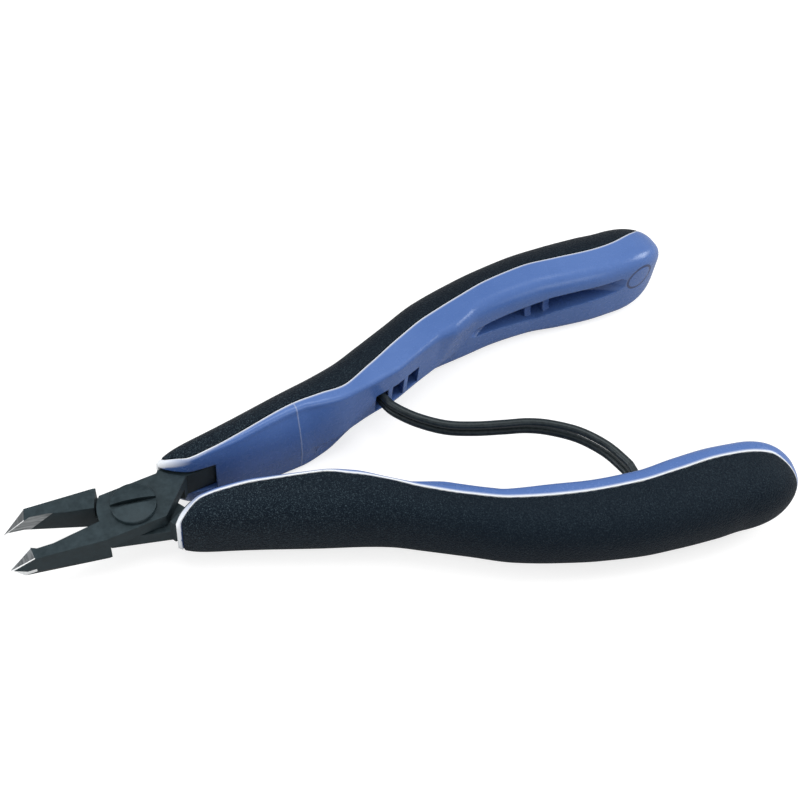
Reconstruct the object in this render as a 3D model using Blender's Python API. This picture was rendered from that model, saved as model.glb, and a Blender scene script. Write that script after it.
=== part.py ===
"""Flush cutter with oblique end-cutting jaws, moulded two-colour handles and a wire return spring.

Units are metres, +Z is up. The pivot axis is Z through the origin, and z = 0 is the flat underside
of the head. The jaws point to -X and the handles to +X. Every half is drawn closed, in its own frame
about the middle plane of the head, and its empty on the pivot axis then swings it open.
"""

import math

import bmesh
import bpy
import numpy as np
from mathutils import Vector

# Head and jaws
HEAD_HALF = 0.0033          # half the head's thickness
HEAD_RADIUS = 0.0066        # round end of each lap plate
HEAD_SIDE = 0.0042          # pivot axis to the plate's straight side
HEAD_FRONT = 0.0046         # pivot axis to the jaw's outer side at the head
PLATE_TURN = (140.5, 184.0)  # where the plate's round end starts and stops, in degrees
HEEL = 0.0045               # pivot axis to the corner behind the jaw's outer side
HEEL_CHAMFER = 0.0004
SHOULDER = 0.0062           # pivot axis to the step from the plate's side up to the tang
SHOULDER_RISE = 0.0009
LAP_GAP = 0.0003            # running gap between the two lap plates
LAP_CLEARANCE = 0.0004      # plate's round end to the other half's curved shoulder
LAP_TURN = (115.0, 262.0)   # where the curved shoulder starts and stops, in degrees
LAP_WALL_LEAN = math.radians(47.6)
LAP_WALL_FRONT = 0.0130     # length of the straight step wall to each side of its nearest point
LAP_WALL_REAR = 0.0060
OPEN_HALF_ANGLE = math.radians(8.4)
JAW_LENGTH = 0.0231         # pivot axis to the point of the tip
JAW_INSIDE = 0.0005         # jaw's inner side at the head, from the middle
EDGE_RUN = 0.0041           # how far the cutting edge leans forward
TIP_TOP_DROP = 0.0004       # top of the head to the top of the tip
TIP_HEIGHT = 0.0047         # height of the cutting edge
TIP_WIDTH = 0.0024          # width of the ground end face at its top
TIP_FOOT = 0.0006           # width of the ground end face at its foot
TIP_EDGE = 0.0002           # how far the lower corners stand back
RELIEF_DEPTH = 0.0009       # hollow behind the cutting edge
RELIEF_SHARE = 0.7          # depth of the hollow's two ends, as a share
BEVEL_BACK = 0.0007         # steep bevel, measured back from the edge
HOLLOW_BACK = 0.0028        # deepest line of the hollow, measured back from the edge
HOLLOW_END = 0.0052         # end of the ground strip, measured back from the edge

# Tang inside the handle
TANG_START = 0.0110
TANG_END = 0.0500
TANG_WIDTH = 0.0040
TANG_OFFSET = 0.0008        # tang's middle line, inward of the handle's
TANG_FIT = 0.0003
CHEEK_FIT = 0.0003          # gap between the handle's two cheeks and the tang
CHEEK_RELIEF = 0.0004       # how far the tang is cut back under the outer cheek

# Pivot screw
SCREW_HEAD_RADIUS = 0.00415
SCREW_HEAD_HEIGHT = 0.0011
SCREW_EDGE = 0.0003
SCREW_SHANK_RADIUS = 0.0026
SCREW_FIT = 0.0003
SCREW_SEAT = 0.0001         # gap under the screw's head
SCREW_SLOT_WIDTH = 0.0008
SCREW_SLOT_DEPTH = 0.0006
SCREW_FLOOR = 0.0008        # steel left under the blind screw hole

# Handle
HANDLE_HALF = 0.0082        # half the handle's height
NOSE = 0.0070               # front end of the handle
HANDLE_END = 0.1256         # rear end of the handle
END_ROUND = 0.0125          # length of the rounded rear end
END_POWER_ACROSS = 2.1      # bluntness of the end in plan
END_POWER_UP = 2.5          # bluntness of the end from the side
END_TURN = math.radians(83)  # how far round the end goes before its small flat
CORNER_ACROSS = 0.0024
CORNER_UP = 0.0030
CORNER_POWER = 2.2
CORNER_MOST = 0.3           # most of the width that a corner may take
RISE_MOST = 0.5             # most of the half height that it may take
FLAT_SHARE = 0.42           # share of the width where the flat side ends
OUTER_POWER = 2.3
SLOT_END = 0.0160           # rear wall of the open slot at the nose

# Grip pad
PAD_GAP = 0.0003
PAD_FRONT = 0.0080
PAD_FRONT_ROUND = 0.0030
PAD_FRONT_SHARE = 0.55      # pad's width at its blunt front end, as a share
PAD_END = 0.1243
PAD_END_ROUND = 0.0050
PAD_LEAST = 0.06            # pad's width at its rear end, as a share

# Rail with the spring pockets, and the spring's seat
RAIL_FROM = 0.0400
RAIL_TO = 0.0676
RAIL_FAIR = 0.0045          # run over which the rail's rear end fades into the handle
RAIL_HALF = 0.0032
POCKET_COUNT = 3
POCKET_FIRST = 0.0516
POCKET_PITCH = 0.0044
POCKET_LENGTH = 0.0030
POCKET_HALF = 0.0022
POCKET_DEPTH = 0.0030
SEAT_FROM = 0.0770
SEAT_TO = 0.1110
SEAT_HALF = 0.0043
SEAT_DEPTH = 0.0048
SEAT_RAMP_FRONT = 0.0095
SEAT_RAMP_REAR = 0.0050
RIB_THICKNESS = 0.0012
RIB_SPACING = 0.0044
RIB_CENTRE = 0.0937
RIB_TOP = 0.0026            # rib's top below the handle's inner face
RIB_ROOT = 0.0010           # how deep a rib is let into the floor and the side walls

# Return spring
WIRE_RADIUS = 0.0008
WIRE_SPREAD_FRONT = 0.00095  # half the distance between the two legs, in the pocket
WIRE_SPREAD_REAR = 0.0016   # and at the seat
WIRE_IN_POCKET = 0.0015     # how far the legs reach into the pocket
WIRE_IN_SEAT = 0.0020

BEYOND = 0.0030             # how far a tool reaches past the surface it cuts
JOIN = 1e-6                 # points nearer than this are one point
LATHE_JOIN = 1e-5

# The handle, closed. Share of its length, inner side, outer side, half height as a share of HANDLE_HALF,
# pad border on the two faces as shares of the width, and pad thickness
STATIONS = np.array([
    (0.000, 0.0050, 0.0076, 0.68, 0.38, 0.69, 0.0009),
    (0.008, 0.0033, 0.0080, 0.80, 0.32, 0.57, 0.0009),
    (0.025, 0.0020, 0.0084, 0.89, 0.25, 0.41, 0.0010),
    (0.042, 0.0013, 0.0087, 0.94, 0.20, 0.31, 0.0011),
    (0.076, 0.0007, 0.0091, 0.99, 0.20, 0.25, 0.0013),
    (0.126, 0.0006, 0.0099, 1.00, 0.24, 0.15, 0.0015),
    (0.228, 0.0006, 0.0114, 1.00, 0.32, 0.12, 0.0015),
    (0.278, 0.0014, 0.0123, 1.00, 0.27, 0.19, 0.0015),
    (0.329, 0.0036, 0.0133, 1.00, 0.16, 0.23, 0.0015),
    (0.379, 0.0054, 0.0149, 1.00, 0.18, 0.31, 0.0015),
    (0.447, 0.0072, 0.0176, 1.00, 0.24, 0.35, 0.0015),
    (0.514, 0.0088, 0.0197, 1.00, 0.30, 0.37, 0.0015),
    (0.582, 0.0097, 0.0212, 1.00, 0.35, 0.36, 0.0015),
    (0.649, 0.0098, 0.0220, 1.00, 0.37, 0.34, 0.0015),
    (0.717, 0.0091, 0.0222, 1.00, 0.39, 0.34, 0.0015),
    (0.784, 0.0078, 0.0218, 1.00, 0.39, 0.32, 0.0015),
    (0.852, 0.0067, 0.0209, 1.00, 0.39, 0.31, 0.0015),
    (0.902, 0.0062, 0.0201, 1.00, 0.42, 0.33, 0.0014),
    (1.000, 0.0064, 0.0190, 1.00, 0.43, 0.40, 0.0011),
])
INNER, OUTER, HALF, BORDER_A, BORDER_B, PAD = range(1, 7)

# The rail's face, closed: share of its length, and distance from the plane where the handles would meet
RAIL_LINE = [
    (-0.07, 0.0030), (0.00, 0.0013), (0.22, 0.0015), (0.43, 0.0019),
    (0.60, 0.0027), (0.83, 0.0048), (1.00, 0.0060),
]

# The spring's route, at rest: share of the straight line from pocket to seat, and bow as a share of it
SPRING_LINE = [
    (0.000, 0.000), (0.029, -0.014), (0.077, -0.019), (0.172, -0.020), (0.279, -0.009),
    (0.376, 0.026), (0.471, 0.074), (0.552, 0.114), (0.634, 0.141), (0.738, 0.150),
    (0.842, 0.130), (0.921, 0.091), (0.971, 0.048), (1.000, 0.000),
]


def clear_scene():
    for obj in list(bpy.data.objects):
        bpy.data.objects.remove(obj)


def material(name, colour, roughness, metallic):
    made = bpy.data.materials.new(name)
    made.use_nodes = True
    shader = made.node_tree.nodes["Principled BSDF"]
    shader.inputs["Base Color"].default_value = (*colour, 1.0)
    shader.inputs["Roughness"].default_value = roughness
    shader.inputs["Metallic"].default_value = metallic
    return made


def add_object(name, mesh, parent=None, finish=None):
    obj = bpy.data.objects.new(name, mesh)
    bpy.context.scene.collection.objects.link(obj)
    obj.parent = parent
    if finish:
        mesh.materials.append(finish)
    return obj


def mesh_from(name, points, faces):
    """A mesh of these points and faces, with equal points merged and its faces turned outward."""
    bm = bmesh.new()
    verts = [bm.verts.new(point) for point in points]
    for face in faces:
        bm.faces.new([verts[index] for index in face])
    bmesh.ops.remove_doubles(bm, verts=bm.verts, dist=JOIN)
    bmesh.ops.recalc_face_normals(bm, faces=bm.faces)
    mesh = bpy.data.meshes.new(name)
    bm.to_mesh(mesh)
    bm.free()
    return mesh


def prism(name, outline, low, high):
    """An upright prism of a plan outline between two heights."""
    count = len(outline)
    points = [(x, y, low) for x, y in outline] + [(x, y, high) for x, y in outline]
    sides = [(i, (i + 1) % count, count + (i + 1) % count, count + i) for i in range(count)]
    return mesh_from(name, points, [range(count), range(count, 2 * count), *sides])


def loft(name, rings):
    """A closed solid through rings of equal length, capped at both ends."""
    count = len(rings[0])
    points = [point for ring in rings for point in ring]
    faces = [range(count), range(len(points) - count, len(points))]
    for row in range(len(rings) - 1):
        first = row * count
        for i in range(count):
            after = (i + 1) % count
            faces.append((first + i, first + after, first + count + after, first + count + i))
    return mesh_from(name, points, faces)


def cutter(name, mesh, parent):
    obj = add_object(name, mesh, parent)
    obj.hide_render = True
    obj.display_type = "WIRE"
    return obj


def boolean(obj, other, operation="DIFFERENCE"):
    modifier = obj.modifiers.new(f"{operation.lower()}_{other.name}", "BOOLEAN")
    modifier.operation = operation
    modifier.object = other
    modifier.solver = "EXACT"


def arc(radius, start, end, steps):
    """Points on a circle about the pivot axis, from one angle to another in degrees."""
    angles = np.radians(np.linspace(start, end, steps + 1))
    return [(radius * math.cos(a), radius * math.sin(a)) for a in angles]


def smooth(xs, ys, x):
    """A curve through the stations with no overshoot, by cubic pieces with limited slopes."""
    steps = np.diff(xs)
    slopes = np.diff(ys) / steps
    tangents = np.zeros(len(xs))
    same = slopes[:-1] * slopes[1:] > 0
    mean = 2 * slopes[:-1] * slopes[1:] / np.where(same, slopes[:-1] + slopes[1:], 1.0)
    tangents[1:-1] = np.where(same, mean, 0.0)
    tangents[0] = slopes[0]
    tangents[-1] = slopes[-1]
    i = min(max(int(np.searchsorted(xs, x)) - 1, 0), len(xs) - 2)
    t = (x - xs[i]) / steps[i]
    value = (2 * t**3 - 3 * t**2 + 1) * ys[i] + (3 * t**2 - 2 * t**3) * ys[i + 1]
    value += (t**3 - 2 * t**2 + t) * steps[i] * tangents[i]
    value += (t**3 - t**2) * steps[i] * tangents[i + 1]
    return float(value)


def station(x, column):
    """Value of one column of the stations at x."""
    return smooth(STATIONS[:, 0], STATIONS[:, column], (x - NOSE) / (HANDLE_END - NOSE))


def section(x):
    """Inner side, outer side and half height of the handle at x, with its rear end rounded."""
    share = min(1.0, max(0.0, (x - HANDLE_END + END_ROUND) / END_ROUND))
    across = (1 - share**END_POWER_ACROSS) ** (1 / END_POWER_ACROSS)
    up = (1 - share**END_POWER_UP) ** (1 / END_POWER_UP)
    middle = (station(x, INNER) + station(x, OUTER)) / 2
    reach = (station(x, OUTER) - station(x, INNER)) / 2 * across
    return middle - reach, middle + reach, HANDLE_HALF * station(x, HALF) * up


def places(start, end, steps, end_steps):
    """Positions of sections along the handle, closer together round its rear end."""
    turn = HANDLE_END - END_ROUND
    last = math.asin(min(math.sin(END_TURN), (end - turn) / END_ROUND))
    share = np.linspace(0, 1, steps + 1)
    body = start + (turn - start) * (0.5 * share + 0.5 * (1 - np.cos(math.pi * share)) / 2)
    return [*body, *(turn + END_ROUND * math.sin(last * i / end_steps) for i in range(1, end_steps + 1))]


def side_height(y, inner, outer, half):
    """Height of the handle's section at y, for a section between inner and outer."""
    width = outer - inner
    corner = min(CORNER_ACROSS, CORNER_MOST * width)
    rise = min(CORNER_UP, RISE_MOST * half)
    flat_end = inner + FLAT_SHARE * width
    if y < inner + corner:
        share = min(1.0, (inner + corner - y) / corner)
        return half - rise + rise * (1 - share**CORNER_POWER) ** (1 / CORNER_POWER)
    if y <= flat_end:
        return half
    share = min(1.0, (y - flat_end) / (outer - flat_end))
    return half * (1 - share**OUTER_POWER) ** (1 / OUTER_POWER)


def section_across(inner, outer, corner_steps=4, outer_steps=8):
    """The y values that a section's points use, from the inner side to the outer side."""
    width = outer - inner
    corner = min(CORNER_ACROSS, CORNER_MOST * width)
    flat_end = inner + FLAT_SHARE * width
    quarter = math.pi / 2
    turn = [inner + corner * (1 - math.cos(quarter * i / corner_steps)) for i in range(corner_steps + 1)]
    rest = outer - flat_end
    return turn + [flat_end + rest * math.sin(quarter * i / outer_steps) for i in range(outer_steps + 1)]


def handle_ring(x):
    """Section of the handle at x, as points going round it."""
    inner, outer, half = section(x)
    upper = [(x, y, side_height(y, inner, outer, half)) for y in section_across(inner, outer)]
    lower = [(px, py, -pz) for px, py, pz in reversed(upper[:-1])]
    return upper + lower


def border_at(x, column, grow):
    """Pad border at x, drawn in towards the outer side where the pad's ends are rounded."""
    inner, outer, _ = section(x)
    border = inner + (outer - inner) * station(x, column) - grow
    front = min(1.0, max(0.0, (x - PAD_FRONT + grow) / PAD_FRONT_ROUND))
    rear = min(1.0, max(0.0, (PAD_END + grow - x) / PAD_END_ROUND))
    blunt = PAD_FRONT_SHARE + (1 - PAD_FRONT_SHARE) * math.sqrt(1 - (1 - front) ** 2)
    return outer - (outer - border) * max(math.sqrt(1 - (1 - rear) ** 2) * blunt, PAD_LEAST)


def pad_side(x, column, depth, grow, steps, sign):
    """Points on one side of the pad at a depth below the skin, from its border to the outer side."""
    inner, outer, half = section(x)
    outer -= depth
    half -= depth
    border = min(border_at(x, column, grow), outer - PAD_GAP)
    points = []
    for i in range(steps + 1):
        y = border + (outer - border) * math.sin(math.pi / 2 * i / steps)
        points.append((x, y, sign * side_height(y, inner, outer, half)))
    return points


def pad_ring(x, skin, grow, steps=7):
    """Section of the pad at x. skin is how far its outer surface stands above the handle's."""
    depth = station(x, PAD) + grow
    outside = pad_side(x, BORDER_A, -skin, grow, steps, 1)
    outside += pad_side(x, BORDER_B, -skin, grow, steps, -1)[-2::-1]
    inside = pad_side(x, BORDER_A, depth, grow, steps, 1)
    inside += pad_side(x, BORDER_B, depth, grow, steps, -1)[-2::-1]
    return outside + inside[::-1]


def rail_line():
    """Plan points of the rail's face."""
    return [(RAIL_FROM + share * (RAIL_TO - RAIL_FROM), y) for share, y in RAIL_LINE]


def rail_face(x):
    """Height of the rail's face at x."""
    points = rail_line()
    return float(np.interp(x, [p[0] for p in points], [p[1] for p in points]))


def rail_outline():
    """Plan of the raised rail on the handle's inner side, with its back inside the handle."""
    end = RAIL_TO + RAIL_FAIR
    back = [(x, station(x, INNER) + BEYOND) for x in np.linspace(end, RAIL_FROM, 6)]
    return [*rail_line(), (end, station(end, INNER) + PAD_GAP), *back]


def tang_centre(x):
    """Middle of the tang at x: it follows the middle of the handle behind the nose."""
    x = max(x, SLOT_END)
    return (station(x, INNER) + station(x, OUTER)) / 2 - TANG_OFFSET


def tang_sides(grow, start, end):
    """Inner and outer sides of the tang as plan points, widened by grow."""
    xs = np.linspace(start, end, 7)
    inner = [(x, tang_centre(x) - TANG_WIDTH / 2 - grow) for x in xs]
    outer = [(x, tang_centre(x) + TANG_WIDTH / 2 + grow) for x in reversed(xs)]
    return inner, outer


def cross_slot(name, x, length, top, floor, half):
    """A block across the handle's inner side at x, between two heights of the plan."""
    low, high = x - length / 2, x + length / 2
    return prism(name, [(low, top), (high, top), (high, floor), (low, floor)], -half, half)


def seat_mesh():
    """The long hollow in which the spring's bend rests."""
    floor = np.linspace(SEAT_FROM + SEAT_RAMP_FRONT, SEAT_TO - SEAT_RAMP_REAR, 5)
    outline = [(SEAT_FROM, station(SEAT_FROM, INNER)), *((x, station(x, INNER) + SEAT_DEPTH) for x in floor)]
    outline += [(SEAT_TO, station(SEAT_TO, INNER)), (SEAT_TO, station(SEAT_TO, INNER) - BEYOND)]
    outline += [(SEAT_FROM, station(SEAT_FROM, INNER) - BEYOND)]
    return prism("seat", outline, -SEAT_HALF, SEAT_HALF)


def slot_mesh():
    """The open slot at the nose and the channel that holds the tang."""
    inner, outer = tang_sides(TANG_FIT, SLOT_END, TANG_END + TANG_FIT)
    front = NOSE - BEYOND
    nose = [(front, tang_centre(front) + TANG_WIDTH / 2 + TANG_FIT), (front, -BEYOND)]
    half = HEAD_HALF + CHEEK_FIT
    return prism("slot", [(SLOT_END, -BEYOND), *inner, *outer, *nose], -half, half)


def build_handle(name, parent, turned, blue):
    """One handle moulding. Both are the same moulding, and the front one is turned over."""
    rings = [handle_ring(x) for x in places(NOSE, HANDLE_END, 26, 9)]
    body = add_object(name, loft(name, rings), parent, blue)
    recess = loft("recess", [pad_ring(x, BEYOND / 2, PAD_GAP) for x in places(*pad_span(PAD_GAP), 24, 7)])
    steps = [("rail", prism("rail", rail_outline(), -RAIL_HALF, RAIL_HALF), "UNION")]
    steps += [("recess", recess, "DIFFERENCE"), ("slot", slot_mesh(), "DIFFERENCE")]
    for i in range(POCKET_COUNT):
        x = POCKET_FIRST + i * POCKET_PITCH
        face = rail_face(x)
        pocket = cross_slot("pocket", x, POCKET_LENGTH, face - BEYOND, face + POCKET_DEPTH, POCKET_HALF)
        steps.append((f"pocket_{i}", pocket, "DIFFERENCE"))
    steps.append(("seat", seat_mesh(), "DIFFERENCE"))
    for i in range(2):
        x = RIB_CENTRE + (i - 0.5) * RIB_SPACING
        face = station(x, INNER)
        floor = face + SEAT_DEPTH + RIB_ROOT
        rib = cross_slot("rib", x, RIB_THICKNESS, face + RIB_TOP, floor, SEAT_HALF + RIB_ROOT)
        steps.append((f"rib_{i}", rib, "UNION"))
    turn_over(body, turned)
    for tool_name, mesh, operation in steps:
        tool = cutter(f"{name}_{tool_name}_tool", mesh, parent)
        turn_over(tool, turned)
        boolean(body, tool, operation)
    return body


def turn_over(obj, turned):
    if turned:
        obj.rotation_euler = (math.pi, 0.0, 0.0)


def pad_span(grow):
    return PAD_FRONT - grow, PAD_END + grow


def build_grip(name, parent, turned, black):
    rings = [pad_ring(x, 0.0, 0.0) for x in places(*pad_span(0.0), 24, 7)]
    grip = add_object(name, loft(name, rings), parent, black)
    turn_over(grip, turned)
    return grip


def jaw_columns(side):
    """Corners of the jaw as pairs of a top and a bottom point, from the tip round the outer side and back."""
    top = HEAD_HALF - TIP_TOP_DROP
    foot = top - TIP_HEIGHT
    edge_top, edge_foot = EDGE_RUN - JAW_LENGTH, -JAW_LENGTH
    ramp = TIP_HEIGHT / math.hypot(TIP_HEIGHT, EDGE_RUN)

    def behind(distance, depth):
        run = distance / ramp
        return (edge_top + run, -side * depth, top), (edge_foot + run, -side * depth, foot)

    outer_top = (edge_top, -side * TIP_WIDTH, top)
    front = [((edge_top, 0.0, top), (edge_foot, 0.0, foot))]
    front += [(outer_top, (edge_foot + TIP_FOOT, -side * TIP_FOOT, foot + TIP_EDGE / 2))]
    front += [(outer_top, (edge_top - TIP_EDGE, -side * TIP_WIDTH, foot + TIP_EDGE))]
    shoulder = -HEAD_RADIUS - LAP_CLEARANCE
    head = [((shoulder, -side * HEAD_FRONT, HEAD_HALF), (shoulder, -side * HEAD_FRONT, -HEAD_HALF))]
    inside = [((shoulder, -side * JAW_INSIDE, HEAD_HALF), (shoulder, -side * JAW_INSIDE, -HEAD_HALF))]
    hollow = [behind(HOLLOW_END, RELIEF_SHARE * RELIEF_DEPTH), behind(HOLLOW_BACK, RELIEF_DEPTH)]
    hollow += [behind(BEVEL_BACK, RELIEF_SHARE * RELIEF_DEPTH)]
    return front, head, inside, hollow


def head_plan():
    """Plan of the lap plate and the tang, from the heel behind the jaw round to the plate's round end."""
    inner, outer = tang_sides(0.0, TANG_START, TANG_END)
    heel = [(HEEL, -HEAD_FRONT), (HEEL + HEEL_CHAMFER, -HEAD_FRONT + HEEL_CHAMFER)]
    step = [(SHOULDER + SHOULDER_RISE, HEAD_SIDE + SHOULDER_RISE), (SHOULDER, HEAD_SIDE)]
    return heel + inner + outer + step + arc(HEAD_RADIUS, *PLATE_TURN, 8)


def build_half(name, parent, side, steel):
    """One forged half. side is 1 for the half with its jaw at -Y, whose lap plate is the upper one."""
    front, head, inside, hollow = jaw_columns(side)
    body = [((x, side * y, HEAD_HALF), (x, side * y, -HEAD_HALF)) for x, y in head_plan()]
    columns = front + head + body + inside + hollow
    count = len(columns)
    points = [point for column in columns for point in column]
    faces = [(2 * i, 2 * ((i + 1) % count), 2 * ((i + 1) % count) + 1, 2 * i + 1) for i in range(count)]
    head_at, inside_at = len(front), len(front + head + body)
    jaw = [*range(inside_at, count), *range(head_at + 1)]
    rest = range(head_at, inside_at + 1)
    for level in (0, 1):
        faces.append([2 * i + level for i in jaw])
        faces.append([2 * i + level for i in rest])
    half = add_object(name, mesh_from(name, points, faces), parent, steel)
    boolean(half, cutter(f"{name}_lap_tool", lap_mesh(side), parent))
    boolean(half, cutter(f"{name}_cheek_tool", cheek_mesh(side), parent))
    boolean(half, cutter(f"{name}_hole_tool", hole_mesh(), parent))
    return half


def lap_mesh(side):
    """What is milled away from one half so that the other half's plate turns in it."""
    wall = HEAD_RADIUS + 2 * LAP_CLEARANCE
    along = (-math.sin(LAP_WALL_LEAN), math.cos(LAP_WALL_LEAN))
    foot = (wall * math.cos(LAP_WALL_LEAN), wall * math.sin(LAP_WALL_LEAN))
    outline = arc(HEAD_RADIUS + LAP_CLEARANCE, *LAP_TURN, 22)
    outline += [(0.0, -HEAD_RADIUS - BEYOND)]
    for reach in (-LAP_WALL_FRONT, LAP_WALL_REAR):
        outline.append((foot[0] + reach * along[0], foot[1] + reach * along[1]))
    outline = [(x, side * y) for x, y in outline]
    edge, past = LAP_GAP / 2, HEAD_HALF + BEYOND
    return prism("lap", outline, *((-past, edge) if side > 0 else (-edge, past)))


def cheek_mesh(side):
    """Shallow relief in the outer face of a half, under the cheek of its handle."""
    edge = [(x - CHEEK_FIT, station(x, INNER) - CHEEK_FIT) for x in np.linspace(NOSE, SLOT_END, 7)]
    far = TANG_END + BEYOND
    outline = [(NOSE - CHEEK_FIT, HANDLE_HALF + BEYOND), *edge, (far, -BEYOND), (far, HANDLE_HALF + BEYOND)]
    outline = [(x, side * y) for x, y in outline]
    low, high = HEAD_HALF - CHEEK_RELIEF, HEAD_HALF + BEYOND
    return prism("cheek", outline, *((low, high) if side > 0 else (-high, -low)))


def hole_mesh():
    """The screw's hole, which stays blind in the lower half."""
    outline = arc(SCREW_SHANK_RADIUS + SCREW_FIT, 0, 351, 39)
    return prism("hole", outline, SCREW_FLOOR - HEAD_HALF, HEAD_HALF + BEYOND)


def build_screw(name, parent, steel):
    """Slotted pivot screw. Its shank ends blind in the lower half."""
    under, foot = HEAD_HALF + SCREW_SEAT, SCREW_FLOOR + SCREW_FIT - HEAD_HALF
    top = under + SCREW_HEAD_HEIGHT
    profile = [(0.0, top), (SCREW_HEAD_RADIUS - SCREW_EDGE, top), (SCREW_HEAD_RADIUS, top - SCREW_EDGE)]
    profile += [(SCREW_HEAD_RADIUS, under), (SCREW_SHANK_RADIUS, under)]
    profile += [(SCREW_SHANK_RADIUS, foot), (0.0, foot)]
    bm = bmesh.new()
    verts = [bm.verts.new((r, 0.0, z)) for r, z in profile]
    edges = [bm.edges.new(pair) for pair in zip(verts, verts[1:])]
    bmesh.ops.spin(bm, geom=verts + edges, cent=(0, 0, 0), axis=(0, 0, 1), angle=2 * math.pi, steps=40)
    bmesh.ops.remove_doubles(bm, verts=bm.verts, dist=LATHE_JOIN)
    bmesh.ops.recalc_face_normals(bm, faces=bm.faces)
    mesh = bpy.data.meshes.new(name)
    bm.to_mesh(mesh)
    bm.free()
    screw = add_object(name, mesh, parent, steel)
    length, width = SCREW_HEAD_RADIUS + BEYOND, SCREW_SLOT_WIDTH / 2
    outline = [(-length, -width), (length, -width), (length, width), (-length, width)]
    slot = prism("screw_slot", outline, top - SCREW_SLOT_DEPTH, top + BEYOND)
    boolean(screw, cutter(f"{name}_slot_tool", slot, parent))
    return screw


def swung(x, y, angle):
    """A plan point turned about the pivot axis."""
    return Vector((x * math.cos(angle) - y * math.sin(angle), x * math.sin(angle) + y * math.cos(angle)))


def spring_path():
    """Middle line of the spring in plan, at rest, from the rear pocket to the front handle's seat."""
    start = swung(POCKET_FIRST, rail_face(POCKET_FIRST) + WIRE_IN_POCKET, OPEN_HALF_ANGLE)
    end = swung(RIB_CENTRE, -station(RIB_CENTRE, INNER) - WIRE_IN_SEAT, -OPEN_HALF_ANGLE)
    line = end - start
    bow = Vector((-line.y, line.x))
    return [start + share * line + side * bow for share, side in SPRING_LINE]


def build_spring(name, parent, wire):
    route = spring_path()
    spread = np.linspace(WIRE_SPREAD_FRONT, WIRE_SPREAD_REAR, len(route))
    upper = [Vector((*place, s)) for place, s in zip(route, spread)]
    lower = [Vector((*place, -s)) for place, s in zip(route, spread)]
    heading = (upper[-1] - lower[-2]).to_2d().normalized()
    turn = []
    for i in range(1, 8):
        angle = math.pi * i / 8
        place = route[-1] + heading * WIRE_SPREAD_REAR * math.sin(angle)
        turn.append(Vector((*place, WIRE_SPREAD_REAR * math.cos(angle))))
    points = catmull(upper, 4) + turn + catmull(lower, 4)[::-1]
    curve = bpy.data.curves.new(name, "CURVE")
    curve.dimensions = "3D"
    curve.bevel_depth = WIRE_RADIUS
    curve.bevel_resolution = 2
    curve.use_fill_caps = True
    line = curve.splines.new("POLY")
    line.points.add(len(points) - 1)
    for point, place in zip(line.points, points):
        point.co = (*place, 1.0)
    return add_object(name, curve, parent, wire)


def catmull(points, steps):
    """A smooth curve through the points."""
    ends = [points[0] * 2 - points[1], *points, points[-1] * 2 - points[-2]]
    made = []
    for i in range(len(points) - 1):
        a, b, c, d = ends[i:i + 4]
        for k in range(steps):
            t = k / steps
            bend = (2 * a - 5 * b + 4 * c - d) * t**2 + (3 * b - a - 3 * c + d) * t**3
            made.append(0.5 * (2 * b + (c - a) * t + bend))
    return [*made, points[-1]]


def empty(name, place, swing):
    made = bpy.data.objects.new(name, None)
    bpy.context.scene.collection.objects.link(made)
    made.location = place
    made.rotation_euler = (0.0, 0.0, swing)
    return made


def main():
    clear_scene()
    steel = material("black_steel", (0.035, 0.050, 0.058), 0.38, 0.85)
    wire = material("black_wire", (0.012, 0.016, 0.018), 0.35, 0.6)
    blue = material("blue_moulding", (0.105, 0.140, 0.400), 0.38, 0.0)
    black = material("black_grip", (0.010, 0.013, 0.017), 0.62, 0.0)

    middle = (0.0, 0.0, HEAD_HALF)
    rear = empty("rear_handle_half", middle, OPEN_HALF_ANGLE)
    front = empty("front_handle_half", middle, -OPEN_HALF_ANGLE)
    centre = empty("head_middle", middle, 0.0)

    build_half("upper_head_half", rear, 1, steel)
    build_half("lower_head_half", front, -1, steel)
    build_screw("pivot_screw", front, steel)
    build_handle("rear_handle", rear, False, blue)
    build_handle("front_handle", front, True, blue)
    build_grip("rear_grip", rear, False, black)
    build_grip("front_grip", front, True, black)
    build_spring("return_spring", centre, wire)


main()
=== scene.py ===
"""Dresses the flush cutter: smooth mouldings, soft grips, ground jaws, slotted screw and wire spring.

Units are metres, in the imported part's frame: the pivot axis is Z through the origin, the jaws point to -X.
Each half is drawn closed about the head's middle plane, then swung open as the part stands at rest.
"""

import math

import bmesh
import bpy
import numpy as np
from mathutils import Matrix, Vector


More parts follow.
